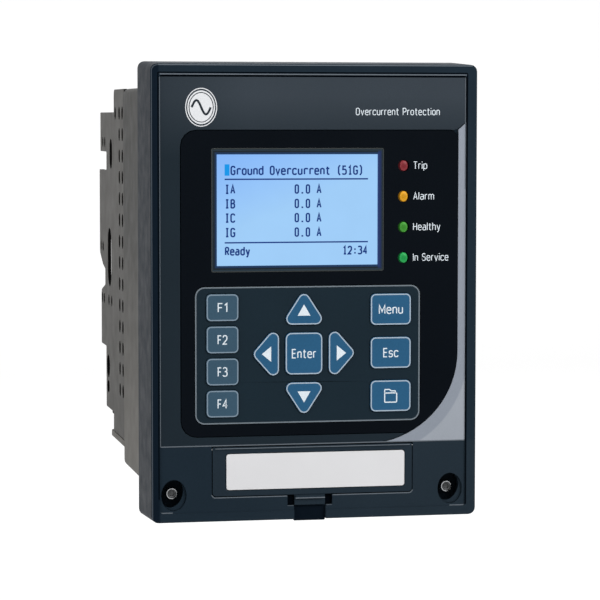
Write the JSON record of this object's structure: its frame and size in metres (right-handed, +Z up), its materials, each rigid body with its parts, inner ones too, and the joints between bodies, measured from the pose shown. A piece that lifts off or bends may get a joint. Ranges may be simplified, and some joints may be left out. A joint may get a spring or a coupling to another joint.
{
  "type": "protection relay",
  "caption": "Panel-mounting protection relay: a display, keypad and status lamps on the front, a label door over a service port, a vented case and rear screw terminals.",
  "frame": {"origin": "centre of the panel cut-out, in the plane of the bezel's rear rim, where it meets the panel", "axes": "+Y goes into the panel, so the front faces -Y; +X is to the right seen from the front; +Z is up"},
  "size_m": [0.13, 0.1788, 0.18],
  "materials": {
    "bezel": "fine-textured dark grey moulding",
    "overlay": "satin film",
    "window": "gloss black",
    "trim": "satin silver paint",
    "display_frame": "dark blue edge of the display",
    "display": "lit pale blue",
    "keypad": "satin film",
    "function_key": "satin rubber-like cap",
    "key": "satin rubber-like cap",
    "lamp_trip": "red lens",
    "lamp_alarm": "amber lens",
    "lamp_healthy": "green lens",
    "lamp_in_service": "green lens",
    "label": "white label",
    "steel": "plated",
    "case": "grey",
    "terminal": "black moulding",
    "board": "green laminate",
    "brass": "plain",
    "core": "varnished laminations"
  },
  "bodies": {
    "housing": {"front_bezel": "bezel", "front_overlay": "overlay", "display_window": "window", "silver_trim": "trim", "display_frame": "display_frame", "display_glass": "display", "display_module": "steel", "keypad_plate": "keypad", "lamp_trip": "lamp_trip", "lamp_alarm": "lamp_alarm", "lamp_healthy": "lamp_healthy", "lamp_in_service": "lamp_in_service", "front_board": "board", "door_hinge_pin_left": "steel", "door_hinge_pin_right": "steel", "service_port": "steel", "front_screw_left": "steel", "front_screw_right": "steel", "bezel_screw_left": "steel", "bezel_screw_right": "steel", "case_collar": "case", "left_cheek": "case", "right_cheek": "case", "case_top": "case", "case_bottom": "case", "rear_panel": "case", "terminal_block_a": "terminal", "terminal_block_b": "terminal", "communication_block": "terminal", "earth_stud": "brass", "earth_nut": "brass", "earth_washer": "brass", "backplane_board": "board", "main_board": "board", "input_output_board": "board", "power_supply_board": "board", "input_transformer_1": "core", "input_transformer_2": "core", "input_transformer_3": "core", "input_transformer_4": "core"},
    "f1_key": {"key_f1": "function_key"},
    "f2_key": {"key_f2": "function_key"},
    "f3_key": {"key_f3": "function_key"},
    "f4_key": {"key_f4": "function_key"},
    "menu_key": {"key_menu": "key"},
    "escape_key": {"key_escape": "key"},
    "file_key": {"key_file": "key"},
    "enter_key": {"key_enter": "key"},
    "up_key": {"key_up": "key"},
    "down_key": {"key_down": "key"},
    "left_key": {"key_left": "key"},
    "right_key": {"key_right": "key"},
    "door": {"label_door": "bezel", "label_plate": "label"}
  },
  "joints": [
    {"name": "f1_press", "type": "slide", "parent": "housing", "child": "f1_key", "axis": [0, 1, 0], "range_m": [0, 0.0007], "stiffness_N_per_m": 1500, "springref_m": -0.0003},
    {"name": "f2_press", "type": "slide", "parent": "housing", "child": "f2_key", "axis": [0, 1, 0], "range_m": [0, 0.0007], "stiffness_N_per_m": 1500, "springref_m": -0.0003},
    {"name": "f3_press", "type": "slide", "parent": "housing", "child": "f3_key", "axis": [0, 1, 0], "range_m": [0, 0.0007], "stiffness_N_per_m": 1500, "springref_m": -0.0003},
    {"name": "f4_press", "type": "slide", "parent": "housing", "child": "f4_key", "axis": [0, 1, 0], "range_m": [0, 0.0007], "stiffness_N_per_m": 1500, "springref_m": -0.0003},
    {"name": "menu_press", "type": "slide", "parent": "housing", "child": "menu_key", "axis": [0, 1, 0], "range_m": [0, 0.0007], "stiffness_N_per_m": 1500, "springref_m": -0.0003},
    {"name": "escape_press", "type": "slide", "parent": "housing", "child": "escape_key", "axis": [0, 1, 0], "range_m": [0, 0.0007], "stiffness_N_per_m": 1500, "springref_m": -0.0003},
    {"name": "file_press", "type": "slide", "parent": "housing", "child": "file_key", "axis": [0, 1, 0], "range_m": [0, 0.0007], "stiffness_N_per_m": 1500, "springref_m": -0.0003},
    {"name": "enter_press", "type": "slide", "parent": "housing", "child": "enter_key", "axis": [0, 1, 0], "range_m": [0, 0.0007], "stiffness_N_per_m": 1500, "springref_m": -0.0003},
    {"name": "up_press", "type": "slide", "parent": "housing", "child": "up_key", "axis": [0, 1, 0], "range_m": [0, 0.0007], "stiffness_N_per_m": 1500, "springref_m": -0.0003},
    {"name": "down_press", "type": "slide", "parent": "housing", "child": "down_key", "axis": [0, 1, 0], "range_m": [0, 0.0007], "stiffness_N_per_m": 1500, "springref_m": -0.0003},
    {"name": "left_press", "type": "slide", "parent": "housing", "child": "left_key", "axis": [0, 1, 0], "range_m": [0, 0.0007], "stiffness_N_per_m": 1500, "springref_m": -0.0003},
    {"name": "right_press", "type": "slide", "parent": "housing", "child": "right_key", "axis": [0, 1, 0], "range_m": [0, 0.0007], "stiffness_N_per_m": 1500, "springref_m": -0.0003},
    {"name": "door_hinge", "type": "hinge", "parent": "housing", "child": "door", "pos_m": [-0.0008, -0.03095, -0.06055], "axis": [-1, 0, 0], "range_deg": [0, 90]}
  ]
}
